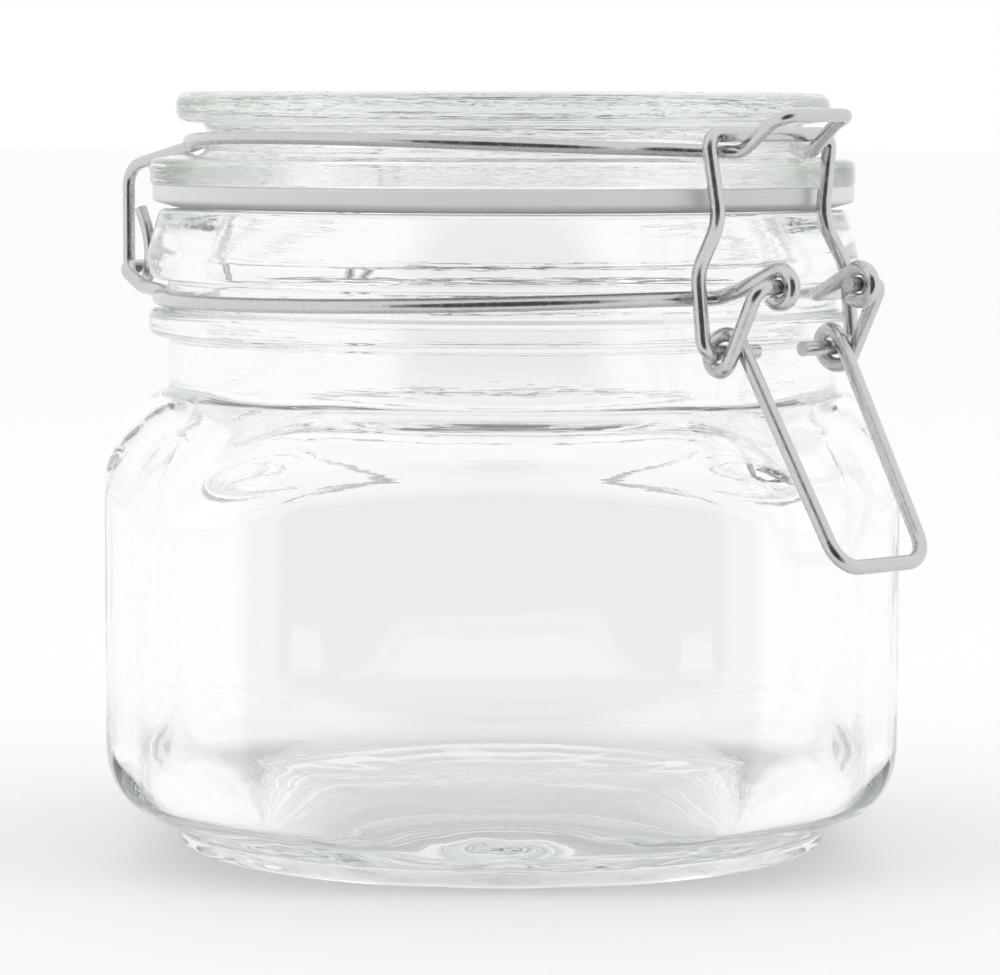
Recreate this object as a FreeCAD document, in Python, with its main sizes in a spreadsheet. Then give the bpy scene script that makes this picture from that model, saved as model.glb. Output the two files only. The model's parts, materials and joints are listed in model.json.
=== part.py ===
"""Square preserving jar: a half-litre jar of clear pressed glass with a glass lid, a rubber ring and a wire closure.

The origin is on the jar's axis at the foot, +Z is up and the flat walls face X and Y. The closure stands over one
corner of the jar, so its wires and the lid are drawn with local +X towards that corner and turned there at the end.
"""
import FreeCAD, Part
import math
import os
import re

import Sketcher
from FreeCAD import Placement, Rotation, Vector

document = FreeCAD.newDocument("square_preserving_jar")

# Sizes that can be set by themselves, in millimetres and degrees.
SIZES = {
    # square body
    "body_width": 108.0,
    "corner_round": 28.0,
    "body_wall": 3.2,
    "base_thick": 4.9,
    "base_slope": 26.0,
    "base_round": 12.5,
    "foot_inset": 7.8,
    "foot_rise": 2.6,
    "foot_width": 3.4,
    "shoulder_top": 63.5,
    "shoulder_slope": 33.0,
    "shoulder_round": 9.0,
    # neck, with the bead and collar that hold the neck wire between them
    "bore_radius": 42.2,
    "neck_wall": 4.9,
    "neck_tall": 8.1,
    "bead_proud": 2.7,
    "bead_tall": 3.8,
    "groove_tall": 4.2,
    "collar_proud": 3.2,
    "collar_tall": 9.8,
    # lid and gasket
    "rim_gap": 0.15,
    "gasket_thick": 3.2,
    "gasket_width": 7.9,
    "flange_tall": 3.45,
    "flange_crown": 0.6,
    "waist_tall": 4.5,
    "disc_tall": 4.3,
    "disc_inset": 3.6,
    "recess_deep": 6.75,
    "dish_deep": 0.6,
    "lug_reach": 7.7,
    # steel wires
    "neck_wire_thick": 2.0,
    "lid_wire_thick": 1.8,
    "lever_thick": 2.0,
    "link_thick": 2.0,
    # closure
    "closure_turn": -45.0,
    "wire_gap": 0.3,
    "pin_gap": 0.2,
    "coil_gap": 0.4,
    "hook_gap": 0.4,
    "hinge_reach": 8.2,
    "hinge_spread": 20.0,
    "eye_reach": 9.0,
    "eye_spread": 8.0,
    "nose_reach": 9.4,
    "handle_gap": 5.0,
    "handle_drop": 36.2,
    "handle_spread": 8.8,
    "bar_spread": 12.3,
}

# Sizes that follow from the ones above.
MEASURES = {
    "half_width": "body_width / 2",
    "foot_radius": "half_width - foot_inset",
    "past_corner": "body_width",
    "neck_radius": "bore_radius + neck_wall",
    "bead_radius": "neck_radius + bead_proud",
    "collar_radius": "neck_radius + collar_proud",
    "rim_radius": "collar_radius - 2.1",
    "bead_low": "shoulder_top + neck_tall",
    "bead_high": "bead_low + bead_tall",
    "collar_low": "bead_high + groove_tall",
    "collar_wide": "collar_low + 2.8",
    "rim_top": "collar_low + collar_tall",
    "floor": "foot_rise + base_thick",
    "gasket_low": "rim_top + rim_gap",
    "gasket_radius": "collar_radius - 0.8",
    "lid_low": "gasket_low + gasket_thick",
    "register_radius": "bore_radius - 1.2",
    "recess_radius": "register_radius - 4",
    "recess_top": "lid_low + recess_deep",
    "flange_radius": "collar_radius - 0.7",
    "flange_edge": "lid_low + flange_tall",
    "flange_top": "flange_edge + flange_crown",
    "disc_radius": "flange_radius - disc_inset",
    "waist_radius": "disc_radius - 4.2",
    "disc_low": "flange_top + waist_tall",
    "lid_top": "disc_low + disc_tall",
    "dish_low": "lid_top - dish_deep",
    "lug_end": "flange_radius + lug_reach",
    "lug_half": "hinge_spread - lid_wire_thick / 2 - 0.8",
}

sheet = document.addObject("Spreadsheet::Sheet", "sizes")
for row, (alias, amount) in enumerate(SIZES.items(), start=1):
    sheet.set(f"A{row}", alias)
    sheet.set(f"B{row}", str(amount))
    sheet.setAlias(f"B{row}", alias)
document.recompute()


def on_sheet(text):
    """Spell out a text of size and measure names as an expression on the sheet's cells."""

    def spell(word):
        name = word.group()
        if name in SIZES:
            return f"{sheet.Name}.{name}"
        if name in MEASURES:
            return f"({on_sheet(MEASURES[name])})"
        return name

    return re.sub(r"[a-z_]+", spell, text)


def size(text):
    """The number that a text of size and measure names comes to."""
    return float(sheet.evalExpression(on_sheet(text)))


# ---------------------------------------------------------------- sketches and features


def sketch_on(body, plane, name):
    """An empty sketch on one of the body's own origin planes."""
    sketch = body.newObject("Sketcher::SketchObject", name)
    origin_plane = next(o for o in body.Origin.OriginFeatures if o.Role == plane)
    sketch.AttachmentSupport = [(origin_plane, "")]
    sketch.MapMode = "FlatFace"
    return sketch


def outline(body, plane, name, corners):
    """A closed sketch of straight lines, each corner's two distances bound to the sheet."""
    sketch = sketch_on(body, plane, name)
    spots = [Vector(size(across), size(up), 0) for across, up in corners]
    for number, spot in enumerate(spots):
        sketch.addGeometry(Part.LineSegment(spot, spots[(number + 1) % len(spots)]))
    for number, corner in enumerate(corners):
        sketch.addConstraint(Sketcher.Constraint("Coincident", number, 2, (number + 1) % len(spots), 1))
        for kind, text, amount in zip(("DistanceX", "DistanceY"), corner, spots[number]):
            constraint = sketch.addConstraint(Sketcher.Constraint(kind, number, 1, amount))
            sketch.setExpression(f"Constraints[{constraint}]", on_sheet(text))
    return sketch


def feature(body, kind, name, profile):
    """A feature of the body made from a sketch."""
    made = body.newObject(f"PartDesign::{kind}", name)
    made.Profile = profile
    return made


def turned(body, kind, name, corners):
    """A Revolution or Groove about the body's upright axis."""
    made = feature(body, kind, name, outline(body, "XZ_Plane", f"{name}_profile", corners))
    made.ReferenceAxis = (made.Profile[0], ["V_Axis"])
    made.Angle = 360
    document.recompute()
    return made


def rounded(body, name, edges, radius):
    """Round the named edges of the body's last feature."""
    made = body.newObject("PartDesign::Fillet", name)
    made.Base = (body.Tip if body.Tip != made else made.BaseFeature, edges)
    made.setExpression("Radius", on_sheet(radius))
    document.recompute()
    return made


def edges_where(made, test):
    """The names of a feature's edges that pass a test."""
    return [f"Edge{number}" for number, edge in enumerate(made.Shape.Edges, start=1) if test(edge)]


def ring(radius, height):
    """A test for an edge that is a circle about the axis."""
    radius, height = size(radius), size(height)

    def test(edge):
        middle = edge.BoundBox.Center
        wide = edge.BoundBox.XLength / 2
        flat = edge.BoundBox.ZLength < 0.001
        return flat and abs(middle.z - height) < 0.001 and math.hypot(middle.x, middle.y) < 0.001 and abs(wide - radius) < 0.001

    return test


def upright(edge):
    """Is the edge straight and parallel to the axis?"""
    first, last = edge.Vertexes[0].Point, edge.Vertexes[-1].Point
    return abs(first.z - last.z) > 1 and math.hypot(first.x - last.x, first.y - last.y) < 0.001


def on_slope(height, radius, slope, least):
    """A test for an edge that lies on a cone about the axis, further out than a least radius."""
    height, radius, slope, least = size(height), size(radius), size(slope), size(least)

    def test(edge):
        spots = edge.discretize(5)
        reach = [math.hypot(spot.x, spot.y) for spot in spots]
        off = [abs(spot.z - height - (far - radius) * slope) for spot, far in zip(spots, reach)]
        return min(reach) > least - 0.01 and max(off) < 0.01

    return test


def square_form(body, low, high, half, corner):
    """A square block with rounded upright corners, from one height to another."""
    square = [(f"-({half})", f"-({half})"), (half, f"-({half})"), (half, half), (f"-({half})", half)]
    sketch = outline(body, "XY_Plane", "square", square)
    sketch.setExpression("AttachmentOffset.Base.z", on_sheet(low))
    block = feature(body, "Pad", "block", sketch)
    block.setExpression("Length", on_sheet(f"({high}) - ({low})"))
    document.recompute()
    return rounded(body, "corners", edges_where(block, upright), corner)


# ---------------------------------------------------------------- jar


def shape_shoulder(body, top, radius, half, softness):
    """Cut the block's top to a cone that falls from the neck, and round its edge."""
    drop = "(past_corner * tan(shoulder_slope))"
    wedge = [(radius, top), (f"{radius} + past_corner", top), (f"{radius} + past_corner", f"{top} - {drop}")]
    slope = turned(body, "Groove", "shoulder", wedge)
    edge = edges_where(slope, on_slope(top, radius, "-tan(shoulder_slope)", half))
    rounded(body, "shoulder_edge", edge, softness)


def make_hollow():
    """The space inside the jar: a smaller rounded square under a round bore."""
    hollow = document.addObject("PartDesign::Body", "hollow")
    top = "(shoulder_top - body_wall / cos(shoulder_slope))"
    square_form(hollow, "floor", top, "half_width - body_wall", "corner_round - body_wall")
    shape_shoulder(hollow, top, "neck_radius", "half_width - body_wall", "shoulder_round - body_wall")
    low_edge = edges_where(hollow.Tip, lambda edge: abs(edge.BoundBox.ZMax - size("floor")) < 0.001)
    rounded(hollow, "floor_edge", low_edge, "base_round - body_wall")
    bore = [("0", f"{top} - 1"), ("bore_radius", f"{top} - 1"), ("bore_radius", "rim_top + 1"), ("0", "rim_top + 1")]
    turned(hollow, "Revolution", "bore", bore)
    return hollow


def make_jar():
    """The glass jar: square body on a round foot ring, sloping shoulder, and a neck with bead, groove and collar."""
    jar = document.addObject("PartDesign::Body", "jar_glass")
    square_form(jar, "foot_rise", "shoulder_top", "half_width", "corner_round")
    shape_shoulder(jar, "shoulder_top", "neck_radius", "half_width", "shoulder_round")

    climb = "past_corner * tan(base_slope)"
    under = [("foot_radius", "foot_rise"), ("foot_radius + past_corner", "foot_rise")]
    under.append(("foot_radius + past_corner", f"foot_rise + {climb}"))
    base = turned(jar, "Groove", "base", under)
    base_edge = edges_where(base, on_slope("foot_rise", "foot_radius", "tan(base_slope)", "half_width"))
    rounded(jar, "base_edge", base_edge, "base_round")

    foot = [
        ("foot_radius - foot_width", "foot_rise + 1"),
        ("foot_radius - foot_width", "foot_rise"),
        ("foot_radius - foot_width + 0.9", "0"),
        ("foot_radius - 0.5", "0"),
        ("foot_radius", "foot_rise"),
        ("foot_radius", "foot_rise + 0.01"),
    ]
    ring_foot = turned(jar, "Revolution", "foot", foot)
    foot_edges = [("foot_radius - foot_width + 0.9", "0"), ("foot_radius - 0.5", "0")]
    round_rings(jar, ring_foot, "foot_edges", foot_edges, "0.8")

    neck = [
        ("0", "shoulder_top - 1"),
        ("neck_radius", "shoulder_top - 1"),
        ("neck_radius", "bead_low"),
        ("bead_radius", "bead_low"),
        ("bead_radius", "bead_high"),
        ("neck_radius", "bead_high"),
        ("neck_radius", "collar_low"),
        ("collar_radius - 0.8", "collar_low"),
        ("collar_radius", "collar_wide"),
        ("rim_radius", "rim_top"),
        ("0", "rim_top"),
    ]
    turned(jar, "Revolution", "neck", neck)

    inside = jar.newObject("PartDesign::Boolean", "inside")
    inside.Type = "Cut"
    inside.setObjects([make_hollow()])
    document.recompute()

    round_rings(jar, jar.Tip, "bead_edges", [("bead_radius", "bead_low"), ("bead_radius", "bead_high")], "1.7")
    round_rings(jar, jar.Tip, "collar_edges", [("collar_radius - 0.8", "collar_low"), ("rim_radius", "rim_top")], "1")
    round_rings(jar, jar.Tip, "collar_belly", [("collar_radius", "collar_wide")], "5")
    round_rings(jar, jar.Tip, "mouth_edge", [("bore_radius", "rim_top")], "1.6")
    return jar


def round_rings(body, made, name, rings, radius):
    """Round circular edges of a feature, each given by its radius and height."""
    tests = [ring(*place) for place in rings]
    edges = edges_where(made, lambda edge: any(test(edge) for test in tests))
    return rounded(body, name, edges, radius)


# ---------------------------------------------------------------- lid and gasket


def make_lid():
    """The glass lid: a register that fits the mouth, a flange on the gasket, a waist for the wire and a domed disc."""
    lid = document.addObject("PartDesign::Body", "lid_glass")
    profile = [
        ("0", "gasket_low + 0.35"),
        ("register_radius - 1.2", "gasket_low + 0.35"),
        ("register_radius", "lid_low"),
        ("flange_radius", "lid_low"),
        ("flange_radius", "flange_edge"),
        ("disc_radius", "flange_top"),
        ("waist_radius", "flange_top"),
        ("waist_radius", "disc_low"),
        ("disc_radius", "disc_low"),
        ("disc_radius", "lid_top"),
        ("0", "lid_top"),
    ]
    turned(lid, "Revolution", "turning", profile)

    lug = [
        ("-lug_end", "lid_low + 1.05"),
        ("-flange_radius", "lid_low"),
        ("-waist_radius", "lid_low"),
        ("-waist_radius", "flange_edge"),
        ("-lug_end", "flange_edge"),
    ]
    lug_pad = feature(lid, "Pad", "lug", outline(lid, "XZ_Plane", "lug_profile", lug))
    lug_pad.Midplane = True
    lug_pad.setExpression("Length", on_sheet("2 * lug_half"))
    document.recompute()
    lug_corners = edges_where(lug_pad, lambda edge: upright(edge) and edge.BoundBox.XMax < -size("flange_radius"))
    rounded(lid, "lug_corners", lug_corners, "3")

    recess = [
        ("0", "gasket_low"),
        ("recess_radius + 0.4", "gasket_low"),
        ("recess_radius - 3", "recess_top"),
        ("0", "recess_top"),
    ]
    recess_cut = turned(lid, "Groove", "recess", recess)
    round_rings(lid, recess_cut, "recess_edge", [("recess_radius - 3", "recess_top")], "4")
    dish = [("0", "dish_low"), ("disc_radius - 10", "dish_low"), ("disc_radius - 9", "lid_top"), ("0", "lid_top")]
    turned(lid, "Groove", "dish", dish)

    round_rings(lid, lid.Tip, "disc_edges", [("disc_radius", "lid_top"), ("disc_radius", "disc_low")], "disc_tall * 0.47")
    round_rings(lid, lid.Tip, "waist_edges", [("waist_radius", "disc_low"), ("waist_radius", "flange_top")], "1.2")
    return lid


def make_gasket():
    """The pale rubber ring under the lid's flange, bevelled where it hangs over the rim."""
    gasket = document.addObject("PartDesign::Body", "gasket")
    profile = [
        ("gasket_radius - gasket_width", "lid_low"),
        ("gasket_radius - gasket_width", "gasket_low"),
        ("gasket_radius - 3.2", "gasket_low"),
        ("gasket_radius", "gasket_low + 0.85"),
        ("gasket_radius", "lid_low"),
    ]
    turned(gasket, "Revolution", "ring", profile)
    round_rings(gasket, gasket.Tip, "ring_edge", [("gasket_radius", "gasket_low + 0.85")], "0.6")
    return gasket


# ---------------------------------------------------------------- wires


def around(middle, radius, start, stop, turns, shift=(0, 0)):
    """Bend points of an arc in the X-Z plane about a middle; Y slides from one value to the other."""
    step = (stop - start) / turns
    reach = radius / math.cos(math.radians(step / 2))
    points = []
    for number in range(turns):
        share = (number + 0.5) / turns
        angle = math.radians(start + share * (stop - start))
        side = shift[0] + share * (shift[1] - shift[0])
        points.append(Vector(middle[0] + reach * math.cos(angle), side, middle[1] + reach * math.sin(angle)))
    return [(point, None) for point in points]


def about_axis(radius, start, stop, turns, height):
    """Bend points of an arc about the jar's axis; the height is a function of the angle in degrees."""
    step = (stop - start) / turns
    reach = radius / math.cos(math.radians(step / 2))
    points = []
    for number in range(turns):
        angle = start + (number + 0.5) * step
        turn = math.radians(angle)
        points.append(Vector(reach * math.cos(turn), reach * math.sin(turn), height(angle)))
    return [(point, None) for point in points]


def tangent_angle(middle, radius, spot, side):
    """The angle on a circle where the line from a spot touches it; side is +1 or -1."""
    across, up = spot[0] - middle[0], spot[1] - middle[1]
    return math.degrees(math.atan2(up, across) + side * math.acos(radius / math.hypot(across, up)))


def at(x, y, z, bend=None):
    """A bend point of a wire with its bend radius, or None for the largest bend that fits."""
    return Vector(x, y, z), bend


def mirrored(half):
    """The whole route of a wire from its +Y half, which ends at the middle."""
    return half + [(Vector(point.x, -point.y, point.z), bend) for point, bend in reversed(half)]


def wire_path(name, route):
    """Straight runs joined by tangent arcs through a route's bend points."""
    points = [point for point, bend in route]
    runs = [(after - before).Length for before, after in zip(points, points[1:])]
    edges, start = [], points[0]
    for number in range(1, len(points) - 1):
        into = (points[number] - points[number - 1]).normalize()
        out = (points[number + 1] - points[number]).normalize()
        turn = into.getAngle(out)
        room = 0.49 * min(runs[number - 1], runs[number])
        bend = route[number][1]
        setback = room if bend is None else min(bend * math.tan(turn / 2), room)
        first, last = points[number] - into * setback, points[number] + out * setback
        inward = (out - into).normalize()
        radius = setback / math.tan(turn / 2)
        middle = points[number] + inward * (radius / math.cos(turn / 2) - radius)
        edges.append(Part.LineSegment(start, first).toShape())
        edges.append(Part.Arc(first, middle, last).toShape())
        start = last
    edges.append(Part.LineSegment(start, points[-1]).toShape())
    path = document.addObject("Part::Feature", name)
    path.Shape = Part.Wire(edges)
    return path


def make_wire(name, thick, route):
    """A round steel wire swept along its route."""
    path = wire_path(f"{name}_path", route)
    start = (route[1][0] - route[0][0]).normalize()
    section = document.addObject("Part::Circle", f"{name}_section")
    section.setExpression("Radius", on_sheet(f"{thick} / 2"))
    section.Placement = Placement(route[0][0], Rotation(Vector(0, 0, 1), start))
    wire = document.addObject("Part::Sweep", name)
    wire.Sections = [section]
    wire.Spine = (path, [f"Edge{number}" for number in range(1, len(path.Shape.Edges) + 1)])
    wire.Solid = True
    wire.Frenet = False
    return wire


hinge = (-size("neck_radius + hinge_reach"), size("collar_low + 0.6"))
eye = (size("collar_radius + eye_reach"), size("collar_low + 0.5"))
coil_radius = size("link_thick / 2 + coil_gap + lever_thick / 2")
coil = (size("bead_radius - 1") + coil_radius + size("lever_thick / 2"), size("bead_low - 0.3"))
wire_seat = size("flange_top + lid_wire_thick / 2 + wire_gap / 2")
leg_side = size("eye_spread + neck_wire_thick / 2 + lever_thick / 2 + 2.4")
arm_side = leg_side - size("lever_thick + 0.5")
post_side = leg_side + size("lever_thick / 2 + link_thick / 2 + 0.5")


def make_neck_wire():
    """The wire in the neck groove: two eyes over the front, and the hinge bar behind."""
    radius = size("neck_radius + wire_gap + neck_wire_thick / 2")
    back = size("bead_high + neck_wire_thick / 2 + 0.4")
    front = size("collar_low - neck_wire_thick / 2 - 0.2")
    side, far_side = size("eye_spread"), size("hinge_spread + 3.3")
    eye_radius = size("lever_thick / 2 + pin_gap + neck_wire_thick / 2")
    clear = size("collar_radius")
    arm = (clear + 2.7, front + 1.1)
    first_touch = tangent_angle(eye, eye_radius, arm, -1)

    def height(angle):
        return back + (front - back) * ((1 + math.cos(math.radians(angle))) / 2) ** 3

    loop = around(eye, eye_radius, first_touch - 250, first_touch, 8, (side, side))
    half = [at(loop[0][0].x - 0.4, side, loop[0][0].z + 0.4)] + loop
    half += [at(arm[0], side + 1, arm[1], 3), at(clear - 0.3, side + 1.9, front, 3)]
    half += about_axis(radius, 14, 151, 17, height)
    half += [at(hinge[0] + 4.3, far_side, back + 0.7, 3), at(hinge[0], far_side, hinge[1], 2)]
    return make_wire("neck_wire", "neck_wire_thick", mirrored(half))


def make_lid_wire():
    """The wire about the lid's waist: hooked on the hinge bar behind, and a raised nose in front."""
    radius = size("waist_radius + 2.3")
    side = size("hinge_spread")
    hook_radius = size("neck_wire_thick / 2 + 0.5 + lid_wire_thick / 2")
    nose = size("flange_radius + nose_reach")
    leg, tail = hinge[0] - hook_radius, hinge[0] + hook_radius
    crown = size("flange_top")

    def height(angle):
        return wire_seat + 1.5 * math.sin(math.radians(angle)) ** 2

    half = [at(hinge[0] + 0.3, side, hinge[1] + 8.5), at(tail, side, hinge[1] + 4.2)]
    half += around(hinge, hook_radius, 0, -180, 6, (side, side))
    half += [at(leg, side, crown - 2.1, 3.5), at(-radius + 4.6, side, crown + 1.95, 3.5)]
    half += about_axis(radius, 146, 13, 14, height)
    half += [at(nose - 7.5, 7, wire_seat - 0.25, 2.5), at(nose - 2.8, 6.5, wire_seat + 3.6, 3), at(nose, 5.9, wire_seat + 4.7, 2)]
    return make_wire("lid_wire", "lid_wire_thick", mirrored(half))


def make_lever():
    """The lever: pins in the eyes, a coil on each leg for the link, and the handle down over the jar's corner."""
    corner = size("(half_width - corner_round) * sqrt(2) + corner_round")
    grip = (corner + size("handle_gap + lever_thick / 2"), eye[1] - size("handle_drop"))
    leg_touch = tangent_angle(coil, coil_radius, eye, -1)
    arm_touch = tangent_angle(coil, coil_radius, grip, 1) - 360
    half = [at(eye[0], size("eye_spread - 2.4"), eye[1]), at(eye[0], leg_side, eye[1], 1.8)]
    half += around(coil, coil_radius, leg_touch, arm_touch, 9, (leg_side, arm_side))
    half += [at(grip[0], size("handle_spread"), grip[1], 4)]
    return make_wire("lever", "lever_thick", mirrored(half))


def make_link():
    """The link: stubs in the lever's coils, posts that pass the collar, and the bar that holds the nose down."""
    top = wire_seat - 0.2 + size("lid_wire_thick / 2 + link_thick / 2 + hook_gap")
    post = coil[0] - 1.2
    half = [at(coil[0], size("eye_spread - 3.4"), coil[1]), at(coil[0], post_side, coil[1], 1.8)]
    half += [at(post, post_side, size("collar_wide - 0.4"), 6), at(post - 0.4, 10.3, size("rim_top - 0.8"), 6)]
    half += [at(post - 0.8, size("bar_spread"), top, 1.8)]
    return make_wire("link", "link_thick", mirrored(half))


# ---------------------------------------------------------------- the whole jar

turned_closure = Placement(Vector(0, 0, 0), Rotation(Vector(0, 0, 1), size("closure_turn")))
closure = [make_lid(), make_gasket(), make_neck_wire(), make_lid_wire(), make_lever(), make_link()]
for piece in closure:
    piece.Placement = turned_closure
pieces = [make_jar()] + closure
document.recompute()

for item in document.Objects:
    if {"Invalid", "Error"} & set(item.State):
        raise RuntimeError(f"{item.Name} did not recompute: {item.State}")
for piece in pieces:
    if piece.Shape.isNull() or not piece.Shape.isValid() or len(piece.Shape.Solids) != 1:
        raise RuntimeError(f"{piece.Label} is not one valid solid")

os.makedirs("parts", exist_ok=True)
for piece in pieces:
    piece.Shape.exportStep(f"parts/{piece.Label}.step")
    box = piece.Shape.BoundBox
    print(f"{piece.Label}: {piece.Shape.Volume / 1000:.1f} cm3, z {box.ZMin:.2f} to {box.ZMax:.2f}")
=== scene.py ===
# %% [markdown]
# # A square preserving jar
# The real thing is a half-litre jar of clear pressed glass, square in the body and round at the neck, with
# a glass lid, a pale rubber ring and four bent wires that clip it shut. The wires come from the packed
# model as they are. The jar, the lid and the ring are modelled again here, because clear glass shows every
# facet and needs a skin that is as smooth, and as slightly uneven, as the real one.

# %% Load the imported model
import json
import math

import bmesh
import bpy
from mathutils import Matrix, Vector, noise


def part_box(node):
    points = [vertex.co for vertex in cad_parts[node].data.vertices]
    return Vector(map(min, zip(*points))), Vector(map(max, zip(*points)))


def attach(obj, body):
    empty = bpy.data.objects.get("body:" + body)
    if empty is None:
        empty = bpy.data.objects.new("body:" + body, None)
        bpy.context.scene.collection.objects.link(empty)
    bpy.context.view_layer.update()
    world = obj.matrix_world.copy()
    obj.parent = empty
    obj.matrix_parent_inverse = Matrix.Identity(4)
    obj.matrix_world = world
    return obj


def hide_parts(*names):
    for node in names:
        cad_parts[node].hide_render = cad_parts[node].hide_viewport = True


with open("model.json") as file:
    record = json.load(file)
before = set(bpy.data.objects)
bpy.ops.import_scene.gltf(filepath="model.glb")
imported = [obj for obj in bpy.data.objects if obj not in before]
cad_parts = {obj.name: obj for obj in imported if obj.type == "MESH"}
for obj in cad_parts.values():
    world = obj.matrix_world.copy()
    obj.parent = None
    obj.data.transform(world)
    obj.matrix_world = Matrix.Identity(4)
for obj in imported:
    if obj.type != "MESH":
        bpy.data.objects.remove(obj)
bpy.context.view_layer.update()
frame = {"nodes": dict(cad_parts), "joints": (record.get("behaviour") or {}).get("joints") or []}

nodes = frame["nodes"]
MM = 0.001

# %% [markdown]
# ## Where things are
# The body's width, the heights of the rim, the lid and the ring, and the ring's radius come from the imported
# model's boxes, and many sizes below are measured from them, so the new glass fits the wires and the hinge.
# The jar's foot stands at zero and its axis is the upright axis of the frame.

# %% Heights and radii from the imported model
half_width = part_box("jar_glass")[1].x
rim_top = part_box("jar_glass")[1].z
register_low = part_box("lid_glass")[0].z
lid_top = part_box("lid_glass")[1].z
gasket_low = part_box("gasket")[0].z
lid_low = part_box("gasket")[1].z
gasket_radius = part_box("gasket")[1].x
print(f"body {2 * half_width / MM:.1f} mm wide")
print(f"rim at {rim_top / MM:.1f} mm, lid top at {lid_top / MM:.1f} mm")

# %% [markdown]
# ## Rounded profiles
# Pressed glass has no sharp edge: each corner of its section is an arc. A section is written as a few
# corner points, each with the radius that rounds it, and this helper turns them into points along the
# curve. Every corner gets the same number of points, so two sections with the same corners always match
# point for point.


# %% Round the corners of a section
def rounded_section(corners, arc_steps=9, run_steps=3):
    """Points along a section of (radius from the axis, height, rounding) corners, with arcs at the corners."""
    spots = [Vector((reach, height)) for reach, height, _ in corners]
    line = []
    last = spots[0]
    for number in range(1, len(spots) - 1):
        into = (spots[number] - spots[number - 1]).normalized()
        out = (spots[number + 1] - spots[number]).normalized()
        turn = max(into.angle(out), 0.001)
        run_before = (spots[number] - spots[number - 1]).length
        run_after = (spots[number + 1] - spots[number]).length
        room = 0.49 * min(run_before, run_after)
        setback = min(corners[number][2] * math.tan(turn / 2), room)
        first, end = spots[number] - into * setback, spots[number] + out * setback
        line += [last.lerp(first, step / run_steps) for step in range(run_steps)]
        for step in range(arc_steps):
            share = step / arc_steps
            near, far = first.lerp(spots[number], share), spots[number].lerp(end, share)
            line.append(near.lerp(far, share))
        last = end
    line += [last.lerp(spots[-1], step / run_steps) for step in range(run_steps + 1)]
    return line


# %% [markdown]
# ## From a round section to a square jar
# A lathe would give a round jar. Here the section is spun about the axis with bmesh's spin, and each slice
# of the result is then drawn out to the wall of the square at its own angle. The neck stays round, because
# only the corners of the section that belong to the body depend on how far out the wall stands.


# %% How far out the square's wall stands at an angle
def wall_reach(angle, half, corner):
    """Distance from the axis to the wall of a square with rounded corners."""
    turn = abs((angle + math.pi / 4) % (math.pi / 2) - math.pi / 4)
    flat = half - corner
    if half * math.tan(turn) <= flat:
        return half / math.cos(turn)
    off = math.pi / 4 - turn
    far = flat * math.sqrt(2)
    return far * math.cos(off) + math.sqrt(corner**2 - (far * math.sin(off)) ** 2)


# %% Spin a section and fit each slice
def spun_form(name, section_at, slices):
    """A closed form spun about the axis; section_at gives as many points at every angle."""
    bm = bmesh.new()
    station = bm.verts.layers.int.new("station")
    first = section_at(0.0)
    ring = [bm.verts.new((spot.x, 0.0, spot.y)) for spot in first]
    for number, vert in enumerate(ring):
        vert[station] = number
    edges = [bm.edges.new(pair) for pair in zip(ring, ring[1:])]
    spin = {"cent": (0, 0, 0), "axis": (0, 0, 1), "dvec": (0, 0, 0), "angle": 2 * math.pi, "steps": slices}
    bmesh.ops.spin(bm, geom=ring + edges, use_merge=True, use_duplicate=False, **spin)
    sections = {}
    for vert in bm.verts:
        if math.hypot(vert.co.x, vert.co.y) < 1e-7:
            continue
        angle = math.atan2(vert.co.y, vert.co.x)
        key = round(angle * slices / (2 * math.pi)) % slices
        if key not in sections:
            sections[key] = section_at(key * 2 * math.pi / slices)
        spot = sections[key][vert[station]]
        turn = key * 2 * math.pi / slices
        vert.co = (spot.x * math.cos(turn), spot.x * math.sin(turn), spot.y)
    bmesh.ops.remove_doubles(bm, verts=bm.verts, dist=1e-6)
    bmesh.ops.recalc_face_normals(bm, faces=bm.faces)
    mesh = bpy.data.meshes.new(name)
    bm.to_mesh(mesh)
    bm.free()
    mesh.shade_smooth()
    piece = bpy.data.objects.new(name, mesh)
    bpy.context.scene.collection.objects.link(piece)
    print(f"{name}: {len(mesh.polygons)} faces")
    return piece


# %% [markdown]
# ## The jar
# The outside of the jar follows the mould: foot ring, sloping base, flat walls, shoulder, neck, bead,
# groove and collar. The inside is what the plunger and the air left: a plain bore, a soft shoulder and a
# thick round-edged floor. The shoulder is full and level over each flat wall and falls as a cone towards
# the corners, where the lever hangs, so its section has two corners whose heights go from one shape to the
# other. A cone alone leaves a bowed edge.

# %% Sizes of the jar
corner_round = 28 * MM
wall = 3.2 * MM
foot_rise = 2.6 * MM
foot_radius = half_width - 7.8 * MM
floor = 7.5 * MM
neck_radius = 47.1 * MM
bore_radius = 42.2 * MM
shoulder_top = 63.5 * MM
shoulder_fall = math.tan(math.radians(33))
shoulder_bend = 0.45
level_edge_outside, level_bend_outside, round_outside = 57 * MM, 63 * MM, 12 * MM
level_edge_inside, level_bend_inside, round_inside = 53 * MM, 59.2 * MM, 9 * MM
base_climb = math.tan(math.radians(26))
bead_low, bead_high = rim_top - 17.8 * MM, rim_top - 14 * MM
collar_low = rim_top - 9.8 * MM


# %% The two corners of the shoulder's section
def corner_share(angle):
    """0 over a flat wall, 1 at a corner of the jar, smooth between."""
    turn = abs((angle + math.pi / 4) % (math.pi / 2) - math.pi / 4)
    flat_turn = math.atan(1 - corner_round / half_width)
    share = max(0.0, (turn - flat_turn) / (math.pi / 4 - flat_turn))
    return share * share * (3 - 2 * share)


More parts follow.
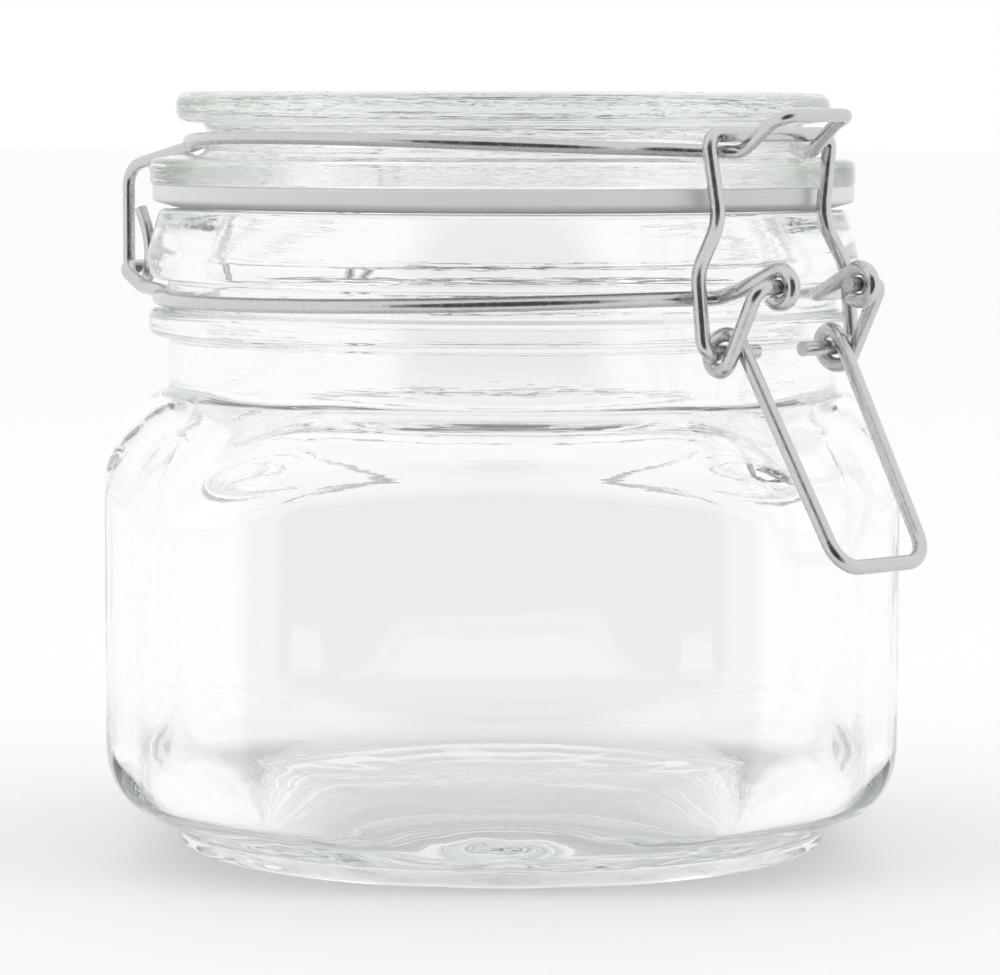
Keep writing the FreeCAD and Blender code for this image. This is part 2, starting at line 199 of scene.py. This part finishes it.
def shoulder_corners(reach, top, share, level_edge, level_bend, rounding):
    """The shoulder's edge on the wall and its bend nearer to the neck, at a reach of the wall."""
    bend = neck_radius + shoulder_bend * (reach - neck_radius)
    cone_edge = top - (reach - neck_radius) * shoulder_fall
    cone_bend = top - (bend - neck_radius) * shoulder_fall
    edge_height = level_edge + share * (cone_edge - level_edge)
    bend_height = level_bend + share * (cone_bend - level_bend)
    return [(reach, edge_height, rounding), (bend, bend_height, rounding)]


# %% The jar's section at a reach of its wall
def jar_section(outer, inner, share):
    """The glass from the middle of the underside, up outside, over the rim and down to the floor's middle."""
    inner_top = shoulder_top - wall / math.cos(math.radians(33))
    outside = shoulder_corners(
        outer, shoulder_top, share, level_edge_outside, level_bend_outside, round_outside
    )
    inside = shoulder_corners(
        inner, inner_top, share, level_edge_inside, level_bend_inside, round_inside
    )
    return rounded_section(
        [
            (0, foot_rise + 0.5 * MM, 0),
            (foot_radius - 8 * MM, foot_rise + 0.3 * MM, 20 * MM),
            (foot_radius - 3.4 * MM, foot_rise, 1 * MM),
            (foot_radius - 2.5 * MM, 0, 0.8 * MM),
            (foot_radius - 0.5 * MM, 0, 0.9 * MM),
            (foot_radius, foot_rise, 0.6 * MM),
            (outer, foot_rise + (outer - foot_radius) * base_climb, 12.5 * MM),
            *outside,
            (neck_radius, shoulder_top, 2 * MM),
            (neck_radius, bead_low, 0.8 * MM),
            (neck_radius + 2.7 * MM, bead_low, 1.7 * MM),
            (neck_radius + 2.7 * MM, bead_high, 1.7 * MM),
            (neck_radius, bead_high, 0.8 * MM),
            (neck_radius, collar_low, 0.8 * MM),
            (neck_radius + 2.4 * MM, collar_low, 1 * MM),
            (neck_radius + 3.2 * MM, collar_low + 2.8 * MM, 5 * MM),
            (neck_radius + 1.1 * MM, rim_top, 1 * MM),
            (bore_radius, rim_top, 1.6 * MM),
            (bore_radius, inner_top + (neck_radius - bore_radius) * shoulder_fall, 3 * MM),
            *reversed(inside),
            (inner, floor, 9.3 * MM),
            (inner * 0.4, floor - 0.2 * MM, 20 * MM),
            (0, floor + 0.1 * MM, 0),
        ]
    )


# %% Spin the jar, let its inside run a little uneven and its underside ripple from the mould
def section_of_jar(angle):
    """The jar's section at an angle about the axis."""
    outer = wall_reach(angle, half_width, corner_round)
    inner = wall_reach(angle, half_width - wall, corner_round - wall)
    return jar_section(outer, inner, corner_share(angle))


slow_wave, quick_wave, mould_ripple = 0.00016, 0.00003, 0.0003
calm_below = 25 * MM
jar = spun_form("jar_clear_glass", section_of_jar, 240)
bm = bmesh.new()
bm.from_mesh(jar.data)
for vert in bm.verts:
    far = math.hypot(vert.co.x, vert.co.y)
    outward = vert.normal.x * vert.co.x + vert.normal.y * vert.co.y + vert.normal.z * (vert.co.z - 45 * MM)
    if outward < 0 and vert.co.z > 6 * MM and far > 1 * MM:
        slow = noise.noise(vert.co * 45)
        quick = noise.noise(vert.co * 130 + Vector((3, 1, 7)))
        depth_of_wave = 0.5 if vert.co.z < calm_below else 1.0
        vert.co -= vert.normal * depth_of_wave * (slow_wave * slow + quick_wave * quick)
    elif 1 * MM < vert.co.z < 8 * MM and vert.normal.z < -0.3:
        vert.co -= vert.normal * mould_ripple * noise.noise(vert.co * 150)
bm.to_mesh(jar.data)
bm.free()
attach(jar, "jar")
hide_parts("jar_glass")

# %% [markdown]
# ## The lid
# The lid is pressed in one piece: a register that drops towards the mouth, a flange that rests on the
# rubber, a waist for the wire and a flat disc with a full round edge. Behind, the flange runs out in a
# square lug between the wires.

# %% Sizes of the lid
flange_radius = 49.6 * MM
flange_edge = lid_low + 3.45 * MM
flange_top = flange_edge + 0.6 * MM
disc_radius = 46 * MM
waist_radius = 41.8 * MM
disc_low = flange_top + 4.5 * MM
register_radius = 41 * MM
lug_end = flange_radius + 7.7 * MM
lug_half = 18.3 * MM
hinge = Vector(next(joint["pos_m"] for joint in frame["joints"] if joint["name"] == "lid_hinge"))
hinge_angle = math.atan2(hinge.y, hinge.x)


# %% The lid's section, drawn out at the lug
def flange_reach(angle):
    """How far the flange reaches at an angle: round, with a square lug towards the hinge."""
    turn = abs((angle - hinge_angle + math.pi) % (2 * math.pi) - math.pi)
    if turn > math.pi / 4:
        return flange_radius
    corner = 3 * MM
    if math.tan(turn) * lug_end <= lug_half - corner:
        return lug_end / math.cos(turn)
    side = lug_half / max(math.sin(turn), 0.01)
    middle = Vector((lug_end - corner, lug_half - corner))
    along = middle.x * math.cos(turn) + middle.y * math.sin(turn)
    past = along**2 - middle.length_squared + corner**2
    if past > 0:
        side = min(side, along + math.sqrt(past))
    return max(side, flange_radius)


def section_of_lid(angle):
    """The lid's section from the middle of its underside, out and up to the middle of its top."""
    flange = flange_reach(angle)
    rise = (flange - flange_radius) / (lug_end - flange_radius) * 1.05 * MM
    return rounded_section(
        [
            (0, lid_low + 6.75 * MM, 0),
            (register_radius - 7 * MM, lid_low + 6.75 * MM, 4 * MM),
            (register_radius - 3.7 * MM, register_low, 0.9 * MM),
            (register_radius - 1.2 * MM, register_low, 0.9 * MM),
            (register_radius, lid_low, 0.6 * MM),
            (flange_radius - 1 * MM, lid_low, 2 * MM),
            (flange, lid_low + rise, 0.8 * MM),
            (flange, flange_edge, 1.2 * MM),
            (disc_radius, flange_top, 3 * MM),
            (waist_radius, flange_top, 1.4 * MM),
            (waist_radius, disc_low, 1.4 * MM),
            (disc_radius, disc_low, 2.05 * MM),
            (disc_radius, lid_top, 2.05 * MM),
            (disc_radius - 9 * MM, lid_top, 1 * MM),
            (disc_radius - 10 * MM, lid_top - 0.6 * MM, 1 * MM),
            (0, lid_top - 0.5 * MM, 0),
        ]
    )


# %% [markdown]
# A clear lid lets light through to the rubber under it. A renderer's shadow rays stop at glass as at a
# solid, which would leave the pale ring black from above, so the lid is told to cast no shadow. The jar
# keeps its own.

# %% Spin the lid
lid = spun_form("lid_clear_glass", section_of_lid, 360)
lid.visible_shadow = False
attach(lid, "lid")
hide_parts("lid_glass")


# %% [markdown]
# ## The rubber ring
# The ring is pale rubber, cut square and squeezed thin under the flange, with its lower edge bevelled over
# the rim. Its top stays a hair under the flange, because a renderer can't tell two faces at one height
# apart.

# %% The ring's section
def section_of_ring(angle):
    """The ring's closed section, starting and ending at its inner upper edge."""
    swell = 0.12 * MM * math.sin(3 * angle + 0.6)
    inner = gasket_radius - 7.9 * MM
    ring_top = lid_low - 0.02 * MM
    return rounded_section(
        [
            (inner, ring_top, 0),
            (inner, gasket_low, 0.5 * MM),
            (gasket_radius - 3.2 * MM, gasket_low, 2 * MM),
            (gasket_radius - 0.12 * MM + swell, gasket_low + 0.85 * MM, 0.6 * MM),
            (gasket_radius - 0.12 * MM + swell, ring_top, 0.3 * MM),
            (inner, ring_top, 0),
        ],
        arc_steps=4,
    )


ring = spun_form("rubber_ring", section_of_ring, 180)
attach(ring, "lid")
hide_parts("gasket")


# %% [markdown]
# ## Finishes
# A finish starts from a Principled shader whose plain values are set on its own sockets. What varies over
# the surface, such as the ripple of the glass or the drawing marks of the wire, comes from noise on Object
# coordinates.


# %% A helper for a new finish
def finish(name, **values):
    """A material with one Principled shader, its sockets set by name."""
    material = bpy.data.materials.new(name)
    material.use_nodes = True
    shader = next(node for node in material.node_tree.nodes if node.type == "BSDF_PRINCIPLED")
    for socket, value in values.items():
        shader.inputs[socket.replace("_", " ")].default_value = value
    return material, shader


def noise_at(material, scale, stretch=(1, 1, 1), detail=2.0, roughness=0.5):
    """A noise texture on Object coordinates, stretched along the axes."""
    tree = material.node_tree
    place = tree.nodes.new("ShaderNodeTexCoord")
    mapping = tree.nodes.new("ShaderNodeMapping")
    texture = tree.nodes.new("ShaderNodeTexNoise")
    mapping.inputs["Scale"].default_value = stretch
    texture.inputs["Scale"].default_value = scale
    texture.inputs["Detail"].default_value = detail
    texture.inputs["Roughness"].default_value = roughness
    tree.links.new(place.outputs["Object"], mapping.inputs["Vector"])
    tree.links.new(mapping.outputs["Vector"], texture.inputs["Vector"])
    return texture.outputs["Fac"]


def spread(material, value, low, high, new_low, new_high):
    """Stretch a value from one range to another."""
    ramp = material.node_tree.nodes.new("ShaderNodeMapRange")
    ramp.inputs["From Min"].default_value = low
    ramp.inputs["From Max"].default_value = high
    ramp.inputs["To Min"].default_value = new_low
    ramp.inputs["To Max"].default_value = new_high
    material.node_tree.links.new(value, ramp.inputs["Value"])
    return ramp.outputs["Result"]


def bump(material, shader, height, strength, distance):
    """Raise the surface by a height value."""
    node = material.node_tree.nodes.new("ShaderNodeBump")
    node.inputs["Strength"].default_value = strength
    node.inputs["Distance"].default_value = distance
    material.node_tree.links.new(height, node.inputs["Height"])
    material.node_tree.links.new(node.outputs["Normal"], shader.inputs["Normal"])


# %% [markdown]
# ### Clear glass
# Soda glass bends light by 1.52 and is faintly green where one looks through a lot of it, at the foot and
# the corners. So the tint is an absorption in the glass, not a colour on its surface. Pressed glass is
# never quite flat: it chills in slow waves on the walls, and in fine level streaks where the mould's rings
# shaped it. Both are heights that a Bump node turns into small bends of the surface.


# %% Heights that add up
def scaled_by(material, value, factor):
    """A value times a factor, which is another value or a plain number."""
    node = material.node_tree.nodes.new("ShaderNodeMath")
    node.operation = "MULTIPLY"
    material.node_tree.links.new(value, node.inputs[0])
    if isinstance(factor, float):
        node.inputs[1].default_value = factor
    else:
        material.node_tree.links.new(factor, node.inputs[1])
    return node.outputs[0]


def summed(material, *values):
    """The sum of several values."""
    total = values[0]
    for value in values[1:]:
        node = material.node_tree.nodes.new("ShaderNodeMath")
        node.operation = "ADD"
        material.node_tree.links.new(total, node.inputs[0])
        material.node_tree.links.new(value, node.inputs[1])
        total = node.outputs[0]
    return total


def height_on(material):
    """How high a point of the piece is above the foot, in metres."""
    place = material.node_tree.nodes.new("ShaderNodeTexCoord")
    split = material.node_tree.nodes.new("ShaderNodeSeparateXYZ")
    material.node_tree.links.new(place.outputs["Object"], split.inputs["Vector"])
    return split.outputs["Z"]


# %% Clear glass
def clear_glass(name, tint, density):
    """Clear soda glass whose tint grows with depth; the surface waves are added by each piece."""
    material, shader = finish(name, Base_Color=(1, 1, 1, 1), Roughness=0.0, IOR=1.52, Transmission_Weight=1.0)
    tree = material.node_tree
    depth = tree.nodes.new("ShaderNodeVolumeAbsorption")
    depth.inputs["Color"].default_value = (*tint, 1)
    depth.inputs["Density"].default_value = density
    output = next(node for node in tree.nodes if node.type == "OUTPUT_MATERIAL")
    tree.links.new(depth.outputs["Volume"], output.inputs["Volume"])
    return material, shader


jar_finish, jar_shader = clear_glass("jar glass", (0.80, 0.86, 0.81), 8.0)
waves = noise_at(jar_finish, 38, detail=1.0)
streaks = noise_at(jar_finish, 1.0, stretch=(45, 45, 700), detail=3.0, roughness=0.6)
in_neck = spread(jar_finish, height_on(jar_finish), 0.052, 0.064, 0.05, 1.0)
streaks_in_neck = scaled_by(jar_finish, scaled_by(jar_finish, streaks, in_neck), 0.24)
bump(jar_finish, jar_shader, summed(jar_finish, waves, streaks_in_neck), 0.4, 0.0004)
jar.data.materials.append(jar_finish)

lid_finish, lid_shader = clear_glass("lid glass", (0.87, 0.90, 0.87), 16.0)
lid_waves = noise_at(lid_finish, 70, detail=1.0)
lid_streaks = noise_at(lid_finish, 1.0, stretch=(50, 50, 800), detail=3.0, roughness=0.6)
lid_height = summed(lid_finish, lid_waves, scaled_by(lid_finish, lid_streaks, 0.5))
bump(lid_finish, lid_shader, lid_height, 0.5, 0.0004)
lid.data.materials.append(lid_finish)

# %% [markdown]
# ### Bright wire
# The wires are drawn steel with a thin bright zinc coat: mirror-like along the wire, with faint marks from
# the die.

# %% Bright zinc-coated wire
wire, wire_shader = finish("bright wire", Base_Color=(0.62, 0.62, 0.62, 1), Metallic=1.0, Roughness=0.2)
marks = noise_at(wire, 900, detail=4.0, roughness=0.6)
wire.node_tree.links.new(spread(wire, marks, 0.3, 0.7, 0.12, 0.34), wire_shader.inputs["Roughness"])
bump(wire, wire_shader, marks, 0.25, 0.00005)
for name in ("neck_wire", "lid_wire", "lever", "link"):
    nodes[name].data.materials.clear()
    nodes[name].data.materials.append(wire)

# %% Pale rubber
rubber, rubber_shader = finish(
    "pale rubber", Base_Color=(0.88, 0.88, 0.87, 1), Roughness=0.5, Specular_IOR_Level=0.4
)
grain = noise_at(rubber, 1500, detail=3.0)
rubber.node_tree.links.new(spread(rubber, grain, 0.3, 0.7, 0.4, 0.6), rubber_shader.inputs["Roughness"])
bump(rubber, rubber_shader, grain, 0.3, 0.0001)
ring.data.materials.append(rubber)

# %% [markdown]
# ## The table, the light and the camera
# Glass has no look of its own: it shows what stands round it. A white table top and a white room lie behind
# and beside the jar, and the room on the camera's side is darker, which draws the grey panes in the flat walls
# and the dark lines in the wires.

# The floor is a table top that ends a few fingers' width in front of the jar, so that the front wall
# mirrors the darker room past its edge and not the white top itself. A floor without an end would wash the
# panes out.

# %% A pale floor
table_front = -0.12
table_half = 6.0
floor_mesh = bpy.data.meshes.new("floor")
bm = bmesh.new()
bmesh.ops.create_grid(bm, x_segments=1, y_segments=1, size=table_half)
bmesh.ops.translate(bm, verts=bm.verts, vec=(0, table_front + table_half, 0))
bm.to_mesh(floor_mesh)
bm.free()
floor_object = bpy.data.objects.new("floor", floor_mesh)
bpy.context.scene.collection.objects.link(floor_object)

floor_finish, floor_shader = finish("pale floor", Base_Color=(0.60, 0.60, 0.60, 1), Roughness=0.9)


def seen_directly(tree):
    """1 where the camera sees a surface, directly or in glass and metal; 0 where it only lights things."""
    path = tree.nodes.new("ShaderNodeLightPath")
    sums = [tree.nodes.new("ShaderNodeMath") for _ in range(2)]
    for node in sums:
        node.operation = "ADD"
        node.use_clamp = True
    tree.links.new(path.outputs["Is Camera Ray"], sums[0].inputs[0])
    tree.links.new(path.outputs["Is Glossy Ray"], sums[0].inputs[1])
    tree.links.new(sums[0].outputs[0], sums[1].inputs[0])
    tree.links.new(path.outputs["Is Transmission Ray"], sums[1].inputs[1])
    return sums[1].outputs[0]


floor_tree = floor_finish.node_tree
glow = floor_tree.nodes.new("ShaderNodeEmission")
both = floor_tree.nodes.new("ShaderNodeAddShader")
glow_level = floor_tree.nodes.new("ShaderNodeMath")
glow_level.operation = "MULTIPLY"
glow_level.inputs[1].default_value = 0.36
floor_tree.links.new(seen_directly(floor_tree), glow_level.inputs[0])
floor_tree.links.new(glow_level.outputs[0], glow.inputs["Strength"])
floor_tree.links.new(floor_shader.outputs["BSDF"], both.inputs[0])
floor_tree.links.new(glow.outputs["Emission"], both.inputs[1])
floor_output = next(node for node in floor_tree.nodes if node.type == "OUTPUT_MATERIAL")
floor_tree.links.new(both.outputs["Shader"], floor_output.inputs["Surface"])
floor_mesh.materials.append(floor_finish)

# %% A white room, darker on the camera's side
world = bpy.data.worlds.new("studio")
bpy.context.scene.world = world
world.use_nodes = True
tree = world.node_tree
background = next(node for node in tree.nodes if node.type == "BACKGROUND")
place = tree.nodes.new("ShaderNodeTexCoord")
split = tree.nodes.new("ShaderNodeSeparateXYZ")
tree.links.new(place.outputs["Generated"], split.inputs["Vector"])
fade = tree.nodes.new("ShaderNodeMapRange")
fade.interpolation_type = "SMOOTHSTEP"
fade.inputs["From Min"].default_value = -0.86
fade.inputs["From Max"].default_value = -0.74
fade.inputs["To Min"].default_value = 0.08
fade.inputs["To Max"].default_value = 1.0
tree.links.new(split.outputs["Y"], fade.inputs["Value"])
path = tree.nodes.new("ShaderNodeLightPath")
level = tree.nodes.new("ShaderNodeMix")
level.data_type = "FLOAT"
tree.links.new(path.outputs["Is Camera Ray"], level.inputs["Factor"])
tree.links.new(fade.outputs["Result"], level.inputs["A"])
level.inputs["B"].default_value = 1.0
tree.links.new(level.outputs["Result"], background.inputs["Strength"])
background.inputs["Color"].default_value = (1, 1, 1, 1)


# %% Two soft boxes and the camera
def softbox(name, place, aim, wide, power):
    """A square lamp of soft light, aimed at a point."""
    lamp = bpy.data.lights.new(name, "AREA")
    lamp.shape = "SQUARE"
    lamp.size = wide
    lamp.energy = power
    holder = bpy.data.objects.new(name, lamp)
    bpy.context.scene.collection.objects.link(holder)
    holder.visible_glossy = False
    holder.location = place
    holder.rotation_euler = (Vector(aim) - Vector(place)).to_track_quat("-Z", "Y").to_euler()
    return holder


softbox("left box", (-0.9, -0.3, 0.7), (0, 0, 0.05), 0.8, 1)
softbox("right box", (0.9, -0.2, 0.7), (0, 0, 0.05), 0.8, 1)

camera = bpy.data.cameras.new("camera")
camera.sensor_width = 36
camera.lens = 36 * 4.5274
camera.clip_start = 0.01
camera_object = bpy.data.objects.new("camera", camera)
bpy.context.scene.collection.objects.link(camera_object)
camera_place = Vector((-0.0003, -0.640, 0.10265))
look_down, roll = math.radians(4.723), math.radians(0.149)
camera_object.matrix_world = (
    Matrix.Translation(camera_place)
    @ Matrix.Rotation(math.pi / 2 - look_down, 4, "X")
    @ Matrix.Rotation(roll, 4, "Z")
)
bpy.context.scene.camera = camera_object
bpy.context.scene.view_settings.view_transform = "Standard"

# %% [markdown]
# Light that is caught in thick glass turns many times before it leaves. With few bounces such paths end
# black, as a dark patch at the foot, so they are given room.

# %% Room for light to turn in the glass
glass_bounces = 64
bpy.context.scene.cycles.max_bounces = glass_bounces
bpy.context.scene.cycles.transmission_bounces = glass_bounces
bpy.context.scene.cycles.glossy_bounces = glass_bounces
